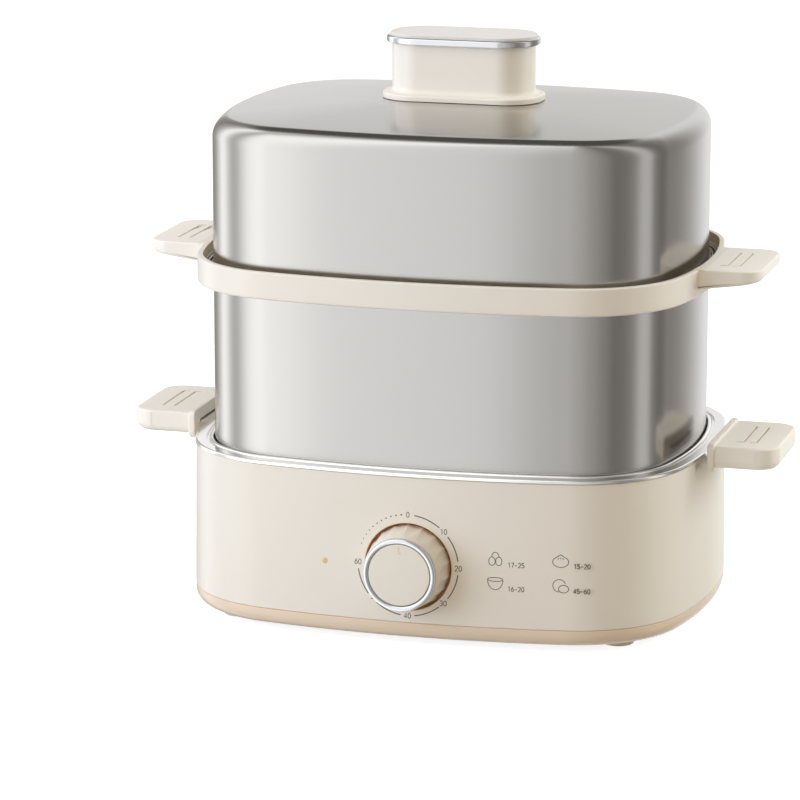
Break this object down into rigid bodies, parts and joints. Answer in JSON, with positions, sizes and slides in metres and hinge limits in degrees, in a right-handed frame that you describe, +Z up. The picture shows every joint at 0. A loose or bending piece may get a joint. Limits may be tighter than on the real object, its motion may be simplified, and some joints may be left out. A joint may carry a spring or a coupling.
{
  "type": "electric egg cooker",
  "caption": "Rounded rectangular egg cooker with a timer knob, a lift-off pan, a steel steaming sleeve with a handled band, and a domed steel lid with a bar handle.",
  "frame": {"origin": "on the floor under the middle of the base outline, in the plane of the four feet", "axes": "+Z up, -Y towards the front with the knob, +X to the right seen from the front"},
  "size_m": [0.3124, 0.2111, 0.2693],
  "materials": {
    "cream_plastic": "warm cream moulded plastic, satin",
    "tan_plastic": "tan moulded plastic",
    "cap_plastic": "greyish beige plastic insert",
    "rubber_foot": "brownish tan rubber",
    "stainless": "satin stainless sheet",
    "screw_steel": "plain steel screws",
    "spring_steel": "stamped steel",
    "blued_steel": "blued spring strip",
    "heater_tube": "oxidised heater tube",
    "aluminium_sheet": "pressed sheet",
    "aluminium_cast": "cast plate",
    "brass": "plain brass",
    "chrome_trim": "polished chrome",
    "black_plastic": "black phenolic",
    "ceramic_white": "white ceramic and nylon",
    "amber_lens": "amber lens",
    "neon_glass": "small glass lamp",
    "wire_brown": "insulated wire",
    "wire_white": "insulated wire",
    "wire_blue": "insulated wire",
    "wire_green": "insulated wire"
  },
  "bodies": {
    "base": {"base_shell": "cream_plastic", "bottom_cover": "tan_plastic", "foot_front_left": "rubber_foot", "foot_front_right": "rubber_foot", "foot_back_left": "rubber_foot", "foot_back_right": "rubber_foot", "cover_screws": "screw_steel", "well_liner": "aluminium_sheet", "heating_plate": "aluminium_cast", "heater_screws": "screw_steel", "heating_element": "heater_tube", "thermostat": "black_plastic", "thermostat_clip": "spring_steel", "thermal_fuse": "ceramic_white", "inlet_socket": "black_plastic", "inlet_pins": "brass", "inlet_screws": "screw_steel", "timer_front_plate": "spring_steel", "timer_rear_plate": "spring_steel", "timer_pillars": "brass", "timer_screws": "screw_steel", "spring_barrel": "brass", "mainspring": "blued_steel", "timer_switch": "ceramic_white", "lamp_lens": "amber_lens", "neon_lamp": "neon_glass", "wire_live": "wire_brown", "wire_heater_feed": "wire_brown", "wire_thermostat": "wire_white", "wire_fuse": "wire_white", "wire_neutral": "wire_blue", "wire_earth": "wire_green", "lamp_leads": "wire_white"},
    "dial": {"knob_body": "cream_plastic", "knob_ring": "chrome_trim", "knob_cap": "cream_plastic", "timer_shaft": "spring_steel", "main_wheel": "brass", "switch_cam": "ceramic_white"},
    "second_wheel_set": {"second_arbor": "spring_steel", "second_wheel": "brass"},
    "escape_wheel_set": {"escape_arbor": "spring_steel", "escape_wheel": "brass"},
    "anchor_lever": {"anchor": "spring_steel"},
    "pan_set": {"pan": "stainless", "pan_handle_left": "cream_plastic", "pan_handle_right": "cream_plastic", "pan_handle_screws": "screw_steel"},
    "lower_tray_set": {"lower_tray": "stainless"},
    "sleeve_set": {"sleeve": "stainless", "sleeve_band": "cream_plastic"},
    "upper_tray_set": {"upper_tray": "stainless"},
    "lid_set": {"lid_shell": "stainless", "lid_handle": "cream_plastic", "lid_handle_band": "chrome_trim", "lid_handle_cap": "cap_plastic", "lid_screws": "screw_steel", "lid_washers": "rubber_foot"}
  },
  "joints": [
    {"name": "dial_turn", "type": "hinge", "parent": "base", "child": "dial", "pos_m": [0, -0.08, 0.0374], "axis": [0, 1, 0], "range_deg": [0, 270]},
    {"name": "second_wheel_turn", "type": "hinge", "parent": "base", "child": "second_wheel_set", "pos_m": [-0.011, -0.08, 0.0326], "axis": [0, 1, 0], "range_deg": [-810, 0]},
    {"name": "escape_wheel_turn", "type": "hinge", "parent": "base", "child": "escape_wheel_set", "pos_m": [-0.01308, -0.08, 0.04441], "axis": [0, 1, 0], "range_deg": [0, 2430]},
    {"name": "anchor_rock", "type": "hinge", "parent": "base", "child": "anchor_lever", "pos_m": [-0.0034, -0.08, 0.0496], "axis": [0, 1, 0], "range_deg": [-4, 4]},
    {"name": "pan_lift", "type": "slide", "parent": "base", "child": "pan_set", "axis": [0, 0, 1], "range_m": [0, 0.06]},
    {"name": "lower_tray_lift", "type": "slide", "parent": "pan_set", "child": "lower_tray_set", "axis": [0, 0, 1], "range_m": [0, 0.03]},
    {"name": "sleeve_lift", "type": "slide", "parent": "lower_tray_set", "child": "sleeve_set", "axis": [0, 0, 1], "range_m": [0, 0.06]},
    {"name": "upper_tray_lift", "type": "slide", "parent": "sleeve_set", "child": "upper_tray_set", "axis": [0, 0, 1], "range_m": [0, 0.03]},
    {"name": "lid_lift", "type": "slide", "parent": "upper_tray_set", "child": "lid_set", "axis": [0, 0, 1], "range_m": [0, 0.1]}
  ],
  "couplings": [
    {"joint": "second_wheel_turn", "follows": "dial_turn", "ratio": -3},
    {"joint": "escape_wheel_turn", "follows": "dial_turn", "ratio": 9}
  ]
}
